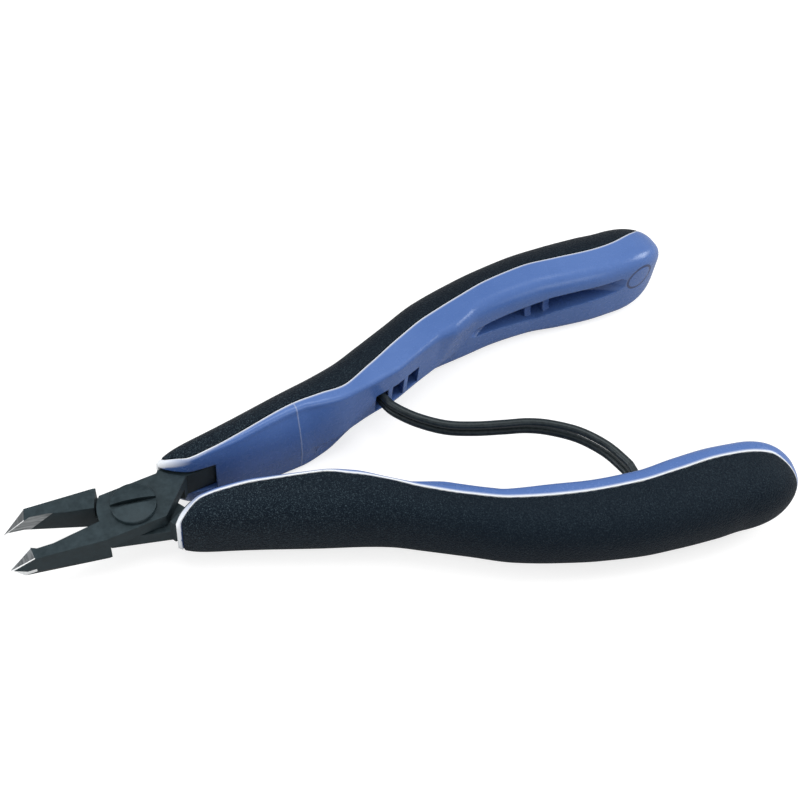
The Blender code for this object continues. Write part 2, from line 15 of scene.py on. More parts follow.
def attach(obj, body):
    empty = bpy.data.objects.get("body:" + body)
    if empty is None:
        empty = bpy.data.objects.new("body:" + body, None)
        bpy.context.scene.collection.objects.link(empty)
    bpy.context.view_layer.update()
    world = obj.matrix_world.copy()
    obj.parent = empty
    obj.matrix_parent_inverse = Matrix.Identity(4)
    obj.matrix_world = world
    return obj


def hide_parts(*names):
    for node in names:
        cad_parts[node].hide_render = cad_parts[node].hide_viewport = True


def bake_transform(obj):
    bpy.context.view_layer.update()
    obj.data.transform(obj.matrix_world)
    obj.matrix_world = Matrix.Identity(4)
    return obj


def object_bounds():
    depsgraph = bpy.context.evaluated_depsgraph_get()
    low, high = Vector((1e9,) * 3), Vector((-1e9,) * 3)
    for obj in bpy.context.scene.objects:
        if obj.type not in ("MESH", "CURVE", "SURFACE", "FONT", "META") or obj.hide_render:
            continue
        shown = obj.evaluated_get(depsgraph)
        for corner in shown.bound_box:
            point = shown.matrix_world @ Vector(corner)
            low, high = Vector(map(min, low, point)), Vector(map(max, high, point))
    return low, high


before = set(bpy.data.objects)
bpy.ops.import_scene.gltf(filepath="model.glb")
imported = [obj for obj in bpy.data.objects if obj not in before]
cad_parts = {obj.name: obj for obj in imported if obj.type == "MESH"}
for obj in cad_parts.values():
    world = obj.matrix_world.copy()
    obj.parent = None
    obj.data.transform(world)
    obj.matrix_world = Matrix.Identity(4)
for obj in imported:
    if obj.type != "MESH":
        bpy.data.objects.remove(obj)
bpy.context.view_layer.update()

# Head and jaws
HEAD_HALF = 0.0033          # half the head's thickness
HEAD_RADIUS = 0.0066        # round end of each lap plate
HEAD_SIDE = 0.0045          # pivot axis to the plate's straight side
HEAD_FRONT = 0.0046         # pivot axis to the jaw's outer side at the head
PLATE_TURN = (137.0, 184.0)  # where the plate's round end starts and stops, in degrees
HEEL = 0.0045               # pivot axis to the corner behind the jaw's outer side
HEEL_CHAMFER = 0.0004
SHOULDER = 0.0062           # pivot axis to the step from the plate's side up to the tang
SHOULDER_RISE = 0.0006
LAP_GAP = 0.0003            # running gap between the two lap plates
LAP_CLEARANCE = 0.0004      # plate's round end to the other half's curved shoulder
LAP_TURN = (115.0, 188.0)   # where the curved shoulder starts and stops, in degrees
LAP_STRAIGHT = 0.0052       # straight part of the shoulder, on from the curve to the jaw's outer side
LAP_WALL_LEAN = math.radians(47.6)
LAP_WALL_FRONT = 0.0130     # length of the straight step wall to each side of its nearest point
LAP_WALL_REAR = 0.0060
OPEN_HALF_ANGLE = math.radians(8.4)
JAW_LENGTH = 0.0238         # pivot axis to the point of the tip
JAW_INSIDE = 0.0005         # jaw's inner side at the head, from the middle
EDGE_RUN = 0.0045           # how far the cutting edge leans forward
TIP_TOP_DROP = 0.0004       # top of the head to the top of the tip
TIP_HEIGHT = 0.0046         # height of the cutting edge
TIP_WIDTH = 0.0025          # width of the ground end face at its top
TIP_FOOT = 0.0006           # width of the ground end face at its foot
TIP_EDGE = 0.0002           # how far the lower corners stand back
TIP_BELLY = (0.0022, 0.0020, 0.0005)  # lowest point under the tip: back from the point, outward, and down
RELIEF_DEPTH = 0.0009       # hollow behind the cutting edge
RELIEF_SHARE = 0.7          # depth of the hollow's two ends, as a share
BEVEL_BACK = 0.0007         # steep bevel, measured back from the edge
HOLLOW_BACK = 0.0028        # deepest line of the hollow, measured back from the edge
HOLLOW_END = 0.0052         # end of the hollow, measured back from the edge
STRIP_END = 0.0036          # end of its bright ground strip
STEEL_EDGE = 0.00012        # rounding of the forged edges
STEEL_BEND = math.radians(28)  # least bend of an edge that is rounded
TIP_LINE = 0.00020          # width of the painted highlight strips on the end face
RELIEF_RISE = 0.0008        # ground facet under the tip, above the jaw's low corner
EDGE_RAMP = TIP_HEIGHT / math.hypot(TIP_HEIGHT, EDGE_RUN)  # distance square to the edge, for one along X
SIDEWAYS = 0.2              # least part of its normal by which a face looks to a side
ALONG_END = 0.98            # and by which it lies in the end face
END_FACE, STRIP, EDGE_HIGHLIGHT = 1, 2, 3  # a head half's material slots

# Tang inside the handle
TANG_START = 0.0110
TANG_END = 0.0500
TANG_WIDTH = 0.0040
TANG_OFFSET = 0.0008        # tang's middle line, inward of the handle's
TANG_FIT = 0.0003
CHEEK_FIT = 0.0003          # gap between the handle's two cheeks and the tang
CHEEK_RELIEF = 0.0004       # how far the tang is cut back under the outer cheek

# Pivot screw
SCREW_HEAD_RADIUS = 0.00415
SCREW_RIM = 0.0008          # height of the head's edge
SCREW_DOME = 0.0005         # how far the head rises from its edge to its middle
SCREW_EDGE = 0.0002
SCREW_SHANK_RADIUS = 0.0026
SCREW_FIT = 0.0003
SCREW_SEAT = 0.0001         # gap under the screw's head
SCREW_SLOT_WIDTH = 0.0010
SCREW_SLOT_DEPTH = 0.00125
SCREW_TURN = math.radians(4.6)  # slot, from the length of the front half
SCREW_FLOOR = 0.0008        # steel left under the blind screw hole

# Handle
HANDLE_HALF = 0.0082        # unit for half the handle's height
HANDLE_REACH = 0.0225       # from the plane where the handles would meet to the farthest outer side
NOSE = 0.0070               # front end of the handle
HANDLE_END = 0.1256         # rear end of the handle
END_ROUND = 0.0125          # length of the rounded rear end
END_POWER_ACROSS = 2.1      # bluntness of the end in plan
END_POWER_UP = 2.5          # bluntness of the end from the side
END_TURN = math.radians(83)  # how far round the end goes before its small flat
CORNER = 0.0032             # unit for the corners beside the inner wall
CORNER_RISE = 1.25          # a corner's height for its width
CORNER_POWER = 2.2
CORNER_MOST = 0.3           # most of the width that a corner may take
RISE_MOST = 0.5             # most of the half height that it may take
LEAN = 0.0032               # unit for how far the inner wall leans back at its top
LEAN_POWER = 1.5
FLAT_SHARE = 0.42           # share of the width where the flat side ends
OUTER_POWER = 2.3
SLOT_END = 0.0167           # rear wall of the open slot at the nose

# Mould parting line, lightened as a painted highlight
PARTING_LINE = 0.0342
PARTING_WIDTH = 0.00018
# Ring groove, darkened as painted shade
RING_CENTRE = Vector((0.1170, 0.0071, 0.0027))
RING_RADIUS = 0.00315
RING_WIDTH = 0.00035
NOSE_HIGHLIGHT = 1.0            # strength of the painted highlight at the moulding's nose
NOSE_HIGHLIGHT_FADE = 0.0055

# Grip pad
PAD_GAP = 0.0001
PAD_LIP = 0.0003            # round edge of the pad and of its recess
LIP_SHARES = (0.0, 0.12, 0.3, 0.5, 0.75, 1.0)  # its points
PAINTED_RIM_WIDTH = 0.0005          # painted highlight beside the pad's border
PAD_THICKNESS = 0.0015
PAD_FRONT = 0.0080
PAD_FRONT_ROUND = 0.0030
PAD_FRONT_SHARE = 0.62      # pad's width at its blunt front end, as a share
PAD_END = 0.1243
PAD_END_ROUND = 0.0050
PAD_LEAST = 0.06            # pad's width at its rear end, as a share

# Raised part of the inner wall, with the spring pockets
RAIL_FROM = 0.0360
RAIL_TO = 0.0682
RAIL_SLANT = 0.0050         # how much further back it ends at the top of the wall
RAIL_FADE = 0.0060          # run over which its end falls back to the wall
LEDGE = 0.0032              # its lower edge, below the middle of the wall
LEDGE_MOST = 0.45           # and at most this share of the half height
LEDGE_STEP = 0.0003
POCKET_COUNT = 3
POCKET_SETBACK = 0.0170     # from the front of the raised part to the first pocket
POCKET_PITCH = 0.0041
POCKET_LENGTH = 0.0030
POCKET_TOP = 0.0021         # above the middle of the wall
POCKET_LIP = 0.0005         # wall left under a pocket, down to the ledge
POCKET_DEPTH = 0.0030

# The spring's seat
RIB_CENTRE = 0.0944
RIB_SPACING = 0.0040
RIB_THICKNESS = 0.0016
RIB_TOP = 0.0009            # rib's two ends below the handle's inner face
RIB_SAG = 0.0012            # how much lower its middle is
RIB_ROOT = 0.0010           # how deep a rib is let into the floor and the side walls
SEAT_AHEAD = 0.0175         # from between the ribs to the front end of the hollow
SEAT_BEHIND = 0.0195        # and to its rear end
SEAT_RAMP_FRONT = 0.0125
SEAT_RAMP_REAR = 0.0110
SEAT_HALF = 0.0029
SEAT_SHIFT = 0.0004         # its middle, above the middle of the wall
SEAT_CLIMB = 0.0022         # how much higher it ends behind the ribs
SEAT_NARROW = 0.0019        # half height at the rear end of the hollow
SEAT_POINT = 0.0012         # and at its front end
SEAT_DEPTH = 0.0048
SEAT_CHAMFER = 0.0010
SEAT_RISE = 0.0002          # the ends of its tool stand this far off the face

# Return spring
WIRE_RADIUS = 0.0008
WIRE_SPREAD_FRONT = 0.00095  # half the distance between the two legs, in the pocket
WIRE_SPREAD_REAR = 0.0016   # and at the seat
WIRE_IN_POCKET = 0.0015     # how far the legs reach into the pocket
WIRE_IN_SEAT = 0.0020
WIRE_UPRIGHT = 0.2          # a stretch that leans less than this takes its sides from X

BEYOND = 0.0030             # how far a tool reaches past the surface it cuts
JOIN = 1e-7                 # points nearer than this are one point
LATHE_JOIN = 1e-5

# Steps of curves
SECTIONS = 150              # along the middle of a handle
END_SECTIONS = 26           # round its rear end
CORNER_STEPS = 8
ROUND_STEPS = 14            # round its outer side
WALL_STEPS = 15             # down its inner wall
PAD_STEPS = 18
PAD_INNER_STEPS = 10
SEAT_SECTIONS = 25
TANG_STEPS = 7
HOLE_STEPS = 40
SCREW_STEPS = 96
DOME_STEPS = 12
RIM_STEPS = 5
SPRING_STEPS = 10           # between two points of the spring's route
BEND_STEPS = 16             # round its rear end
WIRE_STEPS = 20             # round the wire

# Camera, from the photograph's perspective
CAMERA_TURN = math.radians(-27.157)
CAMERA_RISE = math.radians(54.380)
CAMERA_ROLL = math.radians(8.326)
CAMERA_DISTANCE = 0.25269
CAMERA_TARGET = Vector((0.05445, 0.00794, 0.0062))
CAMERA_LENS = 58.30
CAMERA_SENSOR = 36.0
CAMERA_NEAR = 0.01

# Stage. A light's name, place, target, size and power
WORLD_LIGHT = 0.55
FLOOR_RADIUS = 3.0
FLOOR_DROP = 0.00005        # gap under the lowest point
FLOOR_SEEN = 0.70           # white added for the camera, which leaves a faint shadow
MIDDLE = (0.045, 0.0, 0.0)
LIGHTS = [
    ("left_box", (-0.42, 0.04, 0.22), MIDDLE, (0.30, 0.30), 1.2),
    ("top_box", (0.05, 0.07, 0.55), MIDDLE, (0.40, 0.22), 1.1),
    ("front_box", (0.15, -0.50, 0.20), MIDDLE, (0.40, 0.20), 0.42),
    ("right_box", (0.50, -0.02, 0.26), (0.10, 0.02, 0.0), (0.24, 0.24), 1.2),
]

# The handle, closed. Share of its length; inner and outer side as shares of HANDLE_REACH; half height,
# lean of the wall, and the corner to the upper and to the lower face, each as a share of its unit;
# pad border on the two faces as shares of the width; and pad thickness as a share of PAD_THICKNESS
STATIONS = np.array([
    (0.000, 0.238, 0.289, 0.500, 0.00, 0.20, 0.20, 0.300, 0.600, 0.27),
    (0.008, 0.187, 0.302, 0.670, 0.03, 0.25, 0.25, 0.280, 0.520, 0.27),
    (0.025, 0.120, 0.327, 0.830, 0.06, 0.30, 0.30, 0.240, 0.290, 0.28),
    (0.042, 0.073, 0.342, 0.920, 0.12, 0.30, 0.35, 0.180, 0.210, 0.33),
    (0.076, 0.042, 0.362, 0.983, 0.28, 0.30, 0.30, 0.232, 0.164, 0.47),
    (0.126, 0.016, 0.399, 1.010, 0.50, 0.30, 0.28, 0.336, 0.128, 0.73),
    (0.228, 0.018, 0.483, 1.014, 0.95, 0.30, 0.28, 0.449, 0.083, 0.97),
    (0.278, 0.060, 0.516, 0.993, 0.60, 0.30, 0.28, 0.365, 0.118, 1.00),
    (0.329, 0.158, 0.563, 0.945, 0.15, 0.28, 0.28, 0.190, 0.100, 1.00),
    (0.379, 0.250, 0.648, 0.900, 0.00, 0.25, 0.25, 0.230, 0.140, 1.00),
    (0.447, 0.331, 0.769, 0.885, 0.00, 0.25, 0.30, 0.350, 0.220, 1.00),
    (0.514, 0.400, 0.886, 0.890, 0.00, 0.45, 0.47, 0.410, 0.240, 1.00),
    (0.582, 0.411, 0.951, 0.910, 0.00, 0.75, 0.56, 0.480, 0.265, 1.00),
    (0.649, 0.425, 0.990, 0.935, 0.00, 1.00, 0.62, 0.530, 0.250, 1.00),
    (0.717, 0.409, 1.003, 0.970, 0.00, 1.00, 0.62, 0.540, 0.240, 1.00),
    (0.784, 0.345, 0.982, 1.006, 0.00, 1.00, 0.62, 0.512, 0.243, 1.00),
    (0.852, 0.286, 0.944, 1.018, 0.00, 0.95, 0.70, 0.494, 0.230, 1.00),
    (0.902, 0.269, 0.902, 1.020, 0.00, 0.90, 0.75, 0.531, 0.243, 0.93),
    (1.000, 0.240, 0.890, 1.025, 0.00, 0.90, 0.75, 0.803, 0.326, 0.73),
])
INNER, OUTER, HALF, LEANING, CORNER_A, CORNER_B, BORDER_A, BORDER_B, PAD = range(1, 10)

# The raised part's face, closed: share of its length, and distance from the plane where the handles
# would meet, as a share of HANDLE_REACH
RAIL_LINE = np.array([
    (0.000, 0.026), (0.062, 0.028), (0.124, 0.031), (0.193, 0.040), (0.332, 0.089), (0.434, 0.122),
    (0.509, 0.140), (0.637, 0.169), (0.745, 0.218), (0.851, 0.267), (1.000, 0.329),
])

# The spring's route, at rest: share of the straight line from pocket to seat, and bow as a share of it
SPRING_LINE = [
    (0.000, 0.000), (0.030, -0.018), (0.080, -0.038), (0.172, -0.045), (0.277, -0.030),
    (0.373, 0.010), (0.464, 0.061), (0.542, 0.106), (0.622, 0.134), (0.727, 0.149),
    (0.832, 0.134), (0.915, 0.098), (0.941, 0.079), (0.975, 0.041), (1.000, 0.000),
]


# Node helpers

class Nodes:
    """Builds a material's nodes with short calls."""

    def __init__(self, name):
        self.material = bpy.data.materials.new(name)
        self.material.use_nodes = True
        self.tree = self.material.node_tree
        self.shader = self.tree.nodes["Principled BSDF"]
        self.place = self.add("TexCoord").outputs["Object"]

    def add(self, kind, **settings):
        node = self.tree.nodes.new("ShaderNode" + kind)
        for key, value in settings.items():
            setattr(node, key, value)
        return node

    def put(self, socket, value):
        if hasattr(value, "is_output"):
            self.tree.links.new(value, socket)
        elif value is not None:
            socket.default_value = value

    def math(self, operation, a, b=0.0):
        node = self.add("Math", operation=operation)
        for socket, value in zip(node.inputs, (a, b)):
            self.put(socket, value)
        return node.outputs[0]

    def noise(self, scale, detail=3.0, rough=0.5, stretch=(1.0, 1.0, 1.0)):
        stretched = self.add("Mapping")
        self.put(stretched.inputs["Vector"], self.place)
        self.put(stretched.inputs["Scale"], stretch)
        node = self.add("TexNoise")
        self.put(node.inputs["Vector"], stretched.outputs[0])
        self.put(node.inputs["Scale"], scale)
        self.put(node.inputs["Detail"], detail)
        self.put(node.inputs["Roughness"], rough)
        return node.outputs["Fac"]

    def ramp(self, value, low, high, out_low=0.0, out_high=1.0):
        node = self.add("MapRange")
        for key, item in (("Value", value), ("From Min", low), ("From Max", high),
                          ("To Min", out_low), ("To Max", out_high)):
            self.put(node.inputs[key], item)
        return node.outputs["Result"]

    def mix(self, share, a, b):
        node = self.add("Mix", data_type="RGBA")
        self.put(node.inputs["Factor"], share)
        self.put(node.inputs["A"], (*a, 1.0) if isinstance(a, tuple) else a)
        self.put(node.inputs["B"], (*b, 1.0) if isinstance(b, tuple) else b)
        return node.outputs["Result"]

    def bump(self, height, distance, strength, normal=None):
        node = self.add("Bump")
        self.put(node.inputs["Height"], height)
        self.put(node.inputs["Distance"], distance)
        self.put(node.inputs["Strength"], strength)
        self.put(node.inputs["Normal"], normal)
        return node.outputs[0]

    def soft_edge(self, radius):
        """The surface's normal, rounded over its sharp edges."""
        node = self.add("Bevel", samples=6)
        self.put(node.inputs["Radius"], radius)
        return node.outputs[0]

    def mesh_value(self, name):
        """A number noted at the mesh's points."""
        return self.add("Attribute", attribute_name=name).outputs["Fac"]

    def set(self, **values):
        for key, value in values.items():
            self.put(self.shader.inputs[key.replace("_", " ")], value)
        return self.material


def near_line(nodes, start, end, width):
    """1 on a thin line drawn down through a surface between two plan points, and 0 away from it."""
    separate = nodes.add("SeparateXYZ")
    nodes.put(separate.inputs[0], nodes.place)
    x, y, _ = separate.outputs
    along = (end - start).normalized()
    offset = start.x * along.y - start.y * along.x
    across = nodes.math("SUBTRACT", nodes.math("MULTIPLY", x, along.y), nodes.math("MULTIPLY", y, along.x))
    off = nodes.math("ABSOLUTE", nodes.math("SUBTRACT", across, offset))
    return nodes.ramp(off, width / 2, width, 1.0, 0.0)


def near_ring(nodes, centre, radius, width):
    """1 on a thin ring round a point of the surface, and 0 away from it."""
    node = nodes.add("VectorMath", operation="DISTANCE")
    nodes.put(node.inputs[0], nodes.place)
    nodes.put(node.inputs[1], centre)
    off = nodes.math("ABSOLUTE", nodes.math("SUBTRACT", node.outputs["Value"], radius))
    return nodes.ramp(off, width / 2, width, 1.0, 0.0)


# Materials

def blue_material(name, side, turned):
    """Satin blue moulding with fine grain, painted highlights at the pad rim, nose and parting line, and
    painted shade in hollows and the ring mark.
    """
    nodes = Nodes(name)
    flow = nodes.ramp(nodes.noise(60.0, 4.0, 0.6), 0.3, 0.7)
    colour = nodes.mix(flow, (0.060, 0.130, 0.355), (0.082, 0.160, 0.405))
    # painted shade: darker the deeper a point lies in a pocket or the seat
    colour = nodes.mix(nodes.math("MULTIPLY", nodes.mesh_value("deep"), 0.75), colour, (0.012, 0.032, 0.140))
    # painted highlight, near white, along the pad's border and at the nose
    colour = nodes.mix(nodes.mesh_value("rim"), colour, (0.90, 0.93, 0.96))
    move = rest_move(side, turned)
    start, end = (move @ Vector((PARTING_LINE, y, 0.0)) for y in (-HANDLE_REACH, HANDLE_REACH))
    parting = near_line(nodes, start.to_2d(), end.to_2d(), PARTING_WIDTH)
    ring = near_ring(nodes, move @ RING_CENTRE, RING_RADIUS, RING_WIDTH)
    # the parting line's lighter colour is a painted highlight on the mould line
    colour = nodes.mix(nodes.math("MULTIPLY", parting, 0.45), colour, (0.40, 0.46, 0.62))
    # painted shade in the ring mark's groove
    colour = nodes.mix(nodes.math("MULTIPLY", ring, 0.9), colour, (0.018, 0.030, 0.100))
    normal = nodes.soft_edge(0.0004)
    normal = nodes.bump(nodes.noise(180.0, 3.0), 0.00012, 0.3, normal)
    normal = nodes.bump(nodes.math("SUBTRACT", parting, ring), 0.00008, 0.7, normal)
    normal = nodes.bump(nodes.noise(5000.0, 2.0), 0.00001, 0.4, normal)
    rough = nodes.ramp(nodes.noise(900.0, 3.0), 0.3, 0.7, 0.22, 0.30)
    return nodes.set(Base_Color=colour, Roughness=rough, Normal=normal, Specular_IOR_Level=0.5,
                     Specular_Tint=(0.85, 0.93, 1.0, 1.0))


def grip_material():
    """Soft black grip with a fine raised grain, whose light specks are painted stronger towards the front as
    a sheen.
    """
    nodes = Nodes("black_grip")
    fine = nodes.noise(5200.0, 2.0, 0.6)
    cells = nodes.add("TexVoronoi")
    nodes.put(cells.inputs["Vector"], nodes.place)
    nodes.put(cells.inputs["Scale"], 2300.0)
    height = nodes.math("SUBTRACT", fine, cells.outputs["Distance"])
    separate = nodes.add("SeparateXYZ")
    nodes.put(separate.inputs[0], nodes.place)
    # light specks of the grain, made stronger towards the front: a painted sheen
    front = nodes.ramp(separate.outputs["X"], 0.005, 0.060, 1.0, 0.35)
    grain_and_sheen = nodes.math("MULTIPLY", nodes.ramp(nodes.noise(4600.0, 2.0, 0.7), 0.52, 0.70), front)
    colour = nodes.mix(grain_and_sheen, (0.0020, 0.0038, 0.0090), (0.062, 0.090, 0.108))
    rough = nodes.ramp(fine, 0.3, 0.7, 0.42, 0.60)
    return nodes.set(Base_Color=colour, Roughness=rough, Normal=nodes.bump(height, 0.00018, 0.8),
                     Specular_IOR_Level=0.16, Specular_Tint=(0.55, 0.85, 1.0, 1.0))


def black_steel():
    """Blackened forged steel."""
    nodes = Nodes("black_steel")
    patch = nodes.noise(700.0, 5.0, 0.65)
    colour = nodes.mix(nodes.ramp(patch, 0.35, 0.68), (0.013, 0.025, 0.031), (0.028, 0.046, 0.055))
    rough = nodes.ramp(patch, 0.3, 0.7, 0.42, 0.56)
    normal = nodes.bump(nodes.noise(9000.0, 2.0), 0.00002, 0.4, nodes.soft_edge(0.00012))
    return nodes.set(Base_Color=colour, Metallic=0.35, Roughness=rough, Normal=normal,
                     Specular_IOR_Level=0.35)


def ground_steel(name, dark, light, stretch, metallic):
    """Ground steel with fine lines left by the wheel."""
    nodes = Nodes(name)
    lines = nodes.noise(1800.0, 2.0, 0.5, stretch=stretch)
    colour = nodes.mix(nodes.ramp(lines, 0.30, 0.70), dark, light)
    rough = nodes.ramp(lines, 0.3, 0.7, 0.30, 0.42)
    normal = nodes.bump(lines, 0.000004, 0.35)
    return nodes.set(Base_Color=colour, Metallic=metallic, Roughness=rough, Normal=normal)


def wire_steel():
    """Blackened spring wire with faint drawing lines."""
    nodes = Nodes("black_wire")
    lines = nodes.noise(1500.0, 3.0, 0.6)
    colour = nodes.mix(nodes.ramp(lines, 0.35, 0.7), (0.010, 0.017, 0.020), (0.024, 0.034, 0.038))
    rough = nodes.ramp(lines, 0.3, 0.7, 0.30, 0.46)
    return nodes.set(Base_Color=colour, Metallic=0.4, Roughness=rough, Normal=nodes.bump(lines, 0.00002, 0.3))


# Mesh helpers

def add_object(name, data, *materials):
    obj = bpy.data.objects.new(name, data)
    bpy.context.scene.collection.objects.link(obj)
    for item in materials:
        data.materials.append(item)
    return obj


def mesh_from(name, points, faces):
    """A mesh of these points and faces, with equal points merged and its faces turned outward."""
    bm = bmesh.new()
    verts = [bm.verts.new(point) for point in points]
    for face in faces:
        bm.faces.new([verts[index] for index in face])
    bmesh.ops.remove_doubles(bm, verts=bm.verts, dist=JOIN)
    bmesh.ops.recalc_face_normals(bm, faces=bm.faces)
    mesh = bpy.data.meshes.new(name)
    bm.to_mesh(mesh)
    bm.free()
    return mesh


def prism(name, outline, low, high):
    """An upright prism of a plan outline between two heights."""
    return loft(name, [[(x, y, z) for x, y in outline] for z in (low, high)])


def loft(name, rings):
    """A closed solid through rings of equal length, capped at both ends."""
    count = len(rings[0])
    points = [point for ring in rings for point in ring]
    faces = [range(count), range(len(points) - count, len(points))]
    for row in range(len(rings) - 1):
        first = row * count
        for i in range(count):
            after = (i + 1) % count
            faces.append((first + i, first + after, first + count + after, first + count + i))
    return mesh_from(name, points, faces)


def quarter(steps):
    """Shares from 0 to 1 that come closer together, as the sine of a quarter turn."""
    return [math.sin(math.pi / 2 * i / steps) for i in range(steps + 1)]


def arc(radius, start, end, steps):
    """Points on a circle about the pivot axis, from one angle to another in degrees."""
    angles = np.radians(np.linspace(start, end, steps + 1))
    return [(radius * math.cos(a), radius * math.sin(a)) for a in angles]


def carve(obj, tools):
    """Cuts or adds each tool exactly, and leaves one plain mesh."""
    made = []
    for mesh, operation in tools:
        tool = add_object(f"{obj.name}_tool", mesh)
        modifier = obj.modifiers.new("carve", "BOOLEAN")
        modifier.operation = operation
        modifier.object = tool
        modifier.solver = "EXACT"
        made.append(tool)
    flatten(obj)
    for tool in made:
        bpy.data.objects.remove(tool)


def split(bm, faces, place, normal):
    """Cuts some faces along a plane."""
    parts = dict.fromkeys(part for face in faces for part in (face, *face.edges, *face.verts))
    bmesh.ops.bisect_plane(bm, geom=list(parts), plane_co=place, plane_no=normal)


def flatten(obj):
    """Turns the object's modifiers into its mesh."""
    bpy.context.view_layer.update()
    graph = bpy.context.evaluated_depsgraph_get()
    old = obj.data
    obj.data = bpy.data.meshes.new_from_object(obj.evaluated_get(graph))
    obj.modifiers.clear()
    bpy.data.meshes.remove(old)


def shade(obj, angle):
    """Smooth shading, with edges sharper than the angle kept crisp."""
    for face in obj.data.polygons:
        face.use_smooth = True
    obj.data.set_sharp_from_angle(angle=math.radians(angle))


def round_edges(obj, kept):
    """Rounds the sharp edges, except those that end at a kept point."""
    bm = bmesh.new()
    bm.from_mesh(obj.data)
    weight = bm.edges.layers.float.new("bevel_weight_edge")
    for edge in bm.edges:
        bent = len(edge.link_faces) == 2 and edge.calc_face_angle() > STEEL_BEND
        near = min((vert.co - point).length for vert in edge.verts for point in kept)
        edge[weight] = float(bent and near > TIP_LINE)
    bm.to_mesh(obj.data)
    bm.free()
    modifier = obj.modifiers.new("edges", "BEVEL")
    modifier.width = STEEL_EDGE
    modifier.segments = 2
    modifier.limit_method = "WEIGHT"
    flatten(obj)


def rest_move(side, turned=False):
    """From a half's closed drawing frame to where it stands at rest."""
    move = Matrix.Translation((0, 0, HEAD_HALF)) @ Matrix.Rotation(side * OPEN_HALF_ANGLE, 4, "Z")
    return move @ Matrix.Rotation(math.pi, 4, "X") if turned else move


# Handle sections

def smooth(xs, ys, x):
    """A curve through the stations with no overshoot, by cubic pieces with limited slopes."""
    steps = np.diff(xs)
    slopes = np.diff(ys) / steps
    tangents = np.zeros(len(xs))
    same = slopes[:-1] * slopes[1:] > 0
    mean = 2 * slopes[:-1] * slopes[1:] / np.where(same, slopes[:-1] + slopes[1:], 1.0)
    tangents[1:-1] = np.where(same, mean, 0.0)
    tangents[0] = slopes[0]
    tangents[-1] = slopes[-1]
    i = min(max(int(np.searchsorted(xs, x)) - 1, 0), len(xs) - 2)
    t = (x - xs[i]) / steps[i]
    value = (2 * t**3 - 3 * t**2 + 1) * ys[i] + (3 * t**2 - 2 * t**3) * ys[i + 1]
    value += (t**3 - 2 * t**2 + t) * steps[i] * tangents[i]
    value += (t**3 - t**2) * steps[i] * tangents[i + 1]
    return float(value)


def station(x, column):
    """Value of one column of the stations at x."""
    return smooth(STATIONS[:, 0], STATIONS[:, column], (x - NOSE) / (HANDLE_END - NOSE))


def inner_at(x):
    return HANDLE_REACH * station(x, INNER)


def outer_at(x):
    return HANDLE_REACH * station(x, OUTER)


def section(x):
    """Inner side, outer side and half height of the handle at x, with its rear end rounded."""
    share = min(1.0, max(0.0, (x - HANDLE_END + END_ROUND) / END_ROUND))
    across = (1 - share**END_POWER_ACROSS) ** (1 / END_POWER_ACROSS)
    up = (1 - share**END_POWER_UP) ** (1 / END_POWER_UP)
    middle = (inner_at(x) + outer_at(x)) / 2
    reach = (outer_at(x) - inner_at(x)) / 2 * across
    return middle - reach, middle + reach, HANDLE_HALF * station(x, HALF) * up


def ledge_at(half):
    return min(LEDGE, LEDGE_MOST * half)


def rail_face(x):
    """Distance of the raised part's face from the plane where the handles would meet."""
    share = (x - RAIL_FROM) / (RAIL_TO - RAIL_FROM)
    return HANDLE_REACH * smooth(RAIL_LINE[:, 0], RAIL_LINE[:, 1], min(1.0, max(0.0, share)))


def wall(x, z, inner, half):
    """The inner wall's y at a height: upright below the ledge, leaning or raised above it."""
    ledge = ledge_at(half)
    if z < -ledge:
        return inner
    up = min(1.0, (z + ledge) / (half + ledge))
    near = min(RAIL_TO, max(RAIL_FROM, x))
    raised = max(0.0, inner_at(near) - rail_face(near)) if x > RAIL_FROM else 0.0
    fade = min(1.0, max(0.0, (x - RAIL_TO - RAIL_SLANT * up) / RAIL_FADE))
    return inner + LEAN * station(x, LEANING) * up**LEAN_POWER - raised * (1 - fade)


def corner_at(x, sign, inner, outer, half):
    """Where a corner beside the inner wall starts, and how far it reaches across and up."""
    across = CORNER * station(x, CORNER_A if sign > 0 else CORNER_B)
    rise = min(CORNER_RISE * across, RISE_MOST * half)
    start = wall(x, half - rise, inner, half) if sign > 0 else inner
    width = outer - inner
    return start, min(across, CORNER_MOST * width, inner + FLAT_SHARE * width - start), rise


def side_height(y, corner, inner, outer, half):
    """Height of a face of the handle at y, for a section between inner and outer."""
    start, across, rise = corner
    flat_end = inner + FLAT_SHARE * (outer - inner)
    if y < start + across:
        share = min(1.0, (start + across - y) / across)
        return half - rise + rise * (1 - share**CORNER_POWER) ** (1 / CORNER_POWER)
    if y <= flat_end:
        return half
    share = min(1.0, (y - flat_end) / (outer - flat_end))
    return half * (1 - share**OUTER_POWER) ** (1 / OUTER_POWER)


def border_at(x, column):
    """Pad border at x, drawn in towards the outer side where the pad's ends are rounded."""
    inner, outer, _ = section(x)
    border = inner + (outer - inner) * station(x, column)
    front = min(1.0, max(0.0, (x - PAD_FRONT) / PAD_FRONT_ROUND))
    rear = min(1.0, max(0.0, (PAD_END - x) / PAD_END_ROUND))
    blunt = PAD_FRONT_SHARE + (1 - PAD_FRONT_SHARE) * math.sqrt(1 - (1 - front) ** 2)
    return outer - (outer - border) * max(math.sqrt(1 - (1 - rear) ** 2) * blunt, PAD_LEAST)


def lip(distance):
    """How far a rounded edge lies below the skin at a distance from the edge."""
    if distance >= PAD_LIP:
        return 0.0
    return PAD_LIP - math.sqrt(PAD_LIP**2 - (PAD_LIP - max(distance, 0.0)) ** 2)


def skin_point(x, y, drop, corner, shape, sign):
    """A point of the section at y, sunk by drop below the skin. shape is the section at x."""
    inner, outer, half = shape
    y = min(y, outer - drop)
    return x, y, sign * side_height(y, corner, inner, outer - drop, half - drop)


